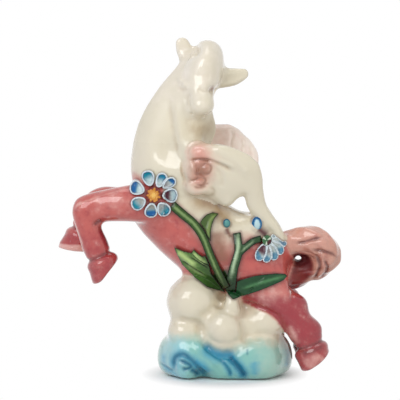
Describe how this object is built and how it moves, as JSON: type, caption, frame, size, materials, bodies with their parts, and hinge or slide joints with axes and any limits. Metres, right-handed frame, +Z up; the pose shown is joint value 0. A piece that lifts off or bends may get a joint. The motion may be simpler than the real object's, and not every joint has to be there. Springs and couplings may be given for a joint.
{
  "type": "winged horse figurine",
  "caption": "Glazed porcelain figurine of a rearing winged horse that looks back over its shoulder, held up by a cloud on a wave-shaped base, with a relief flower sprig on its side.",
  "frame": {"origin": "middle of the flat underside of the wave base", "axes": "+Z up, -X the way the horse's chest faces, -Y towards its left side, which carries the flowers"},
  "size_m": [0.1326, 0.0435, 0.1569],
  "materials": {
    "cream_glaze": "cream-white gloss glaze over porcelain",
    "rose_glaze": "rose-pink gloss glaze over porcelain",
    "deep_rose_glaze": "deep rose gloss glaze over porcelain",
    "blush_glaze": "pale pink gloss glaze with rose in the grooves",
    "wave_glaze": "turquoise brushed underglaze under a gloss glaze",
    "petal_glaze": "blue brushed petals with white raised rims, gloss",
    "saffron_glaze": "saffron yellow flower centre, gloss",
    "leaf_glaze": "green brushed leaf, gloss",
    "stem_glaze": "dark green brushed stem, gloss"
  },
  "bodies": {
    "root": {"wave_base": "wave_glaze", "cloud": "cream_glaze", "trunk": "rose_glaze", "neck": "cream_glaze", "head": "cream_glaze", "mane": "cream_glaze", "right_ear": "cream_glaze", "left_ear": "cream_glaze", "left_foreleg": "rose_glaze", "right_foreleg": "rose_glaze", "left_hind_leg": "deep_rose_glaze", "right_hind_leg": "deep_rose_glaze", "tail": "blush_glaze", "left_wing": "cream_glaze", "right_wing": "cream_glaze", "daisy_eye": "saffron_glaze", "fan_calyx": "stem_glaze", "side_bud": "petal_glaze", "tip_bud": "petal_glaze", "daisy_stem": "stem_glaze", "forked_stem": "stem_glaze", "hooked_leaf": "leaf_glaze", "serrated_leaf": "leaf_glaze", "long_leaf": "leaf_glaze", "daisy_petal_1": "petal_glaze", "daisy_petal_2": "petal_glaze", "daisy_petal_3": "petal_glaze", "daisy_petal_4": "petal_glaze", "daisy_petal_5": "petal_glaze", "daisy_petal_6": "petal_glaze", "daisy_petal_7": "petal_glaze", "daisy_petal_8": "petal_glaze", "fan_petal_1": "petal_glaze", "fan_petal_2": "petal_glaze", "fan_petal_3": "petal_glaze", "fan_petal_4": "petal_glaze", "fan_petal_5": "petal_glaze", "fan_petal_6": "petal_glaze"}
  },
  "joints": []
}
